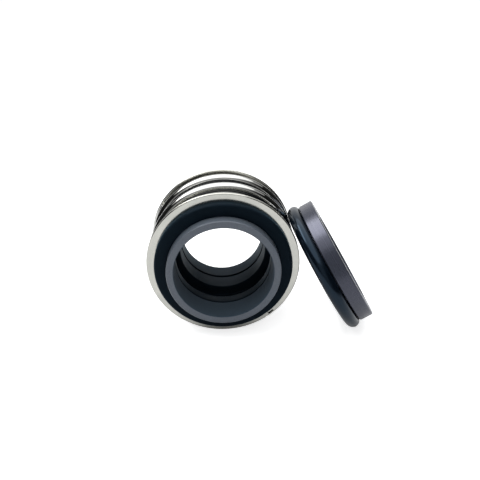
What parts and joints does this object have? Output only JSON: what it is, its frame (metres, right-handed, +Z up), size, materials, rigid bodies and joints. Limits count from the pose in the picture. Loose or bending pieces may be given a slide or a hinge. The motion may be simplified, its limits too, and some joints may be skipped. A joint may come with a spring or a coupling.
{
  "type": "mechanical seal",
  "caption": "Rubber-bellows shaft seal with a coil spring, lying on its side with its stationary seat leaning on it.",
  "frame": {"origin": "on the axis of the rotating head, at the rear face of its rubber tail", "axes": "+Y along the head's axis from the sealing face to the tail, +Z up, +X towards the leaning seat"},
  "size_m": [0.0763, 0.0459, 0.05],
  "materials": {
    "face_ceramic": "lapped and ground",
    "seat_ceramic": "lapped and ground",
    "bellows_rubber": "moulded, matt",
    "ring_rubber": "moulded, satin",
    "collar_steel": "pressed and polished",
    "spring_steel": "drawn and polished"
  },
  "bodies": {
    "tail_group": {"rear_collar": "collar_steel", "bellows": "bellows_rubber", "spring": "spring_steel", "seat_ring": "seat_ceramic", "seat_o_ring": "ring_rubber"},
    "face_group": {"seal_face": "face_ceramic", "front_collar": "collar_steel"}
  },
  "joints": [
    {"name": "face_slide", "type": "slide", "parent": "tail_group", "child": "face_group", "axis": [0, 1, 0], "range_m": [0, 0.0055], "stiffness_N_per_m": 3000, "deforming": ["spring", "bellows"]}
  ]
}
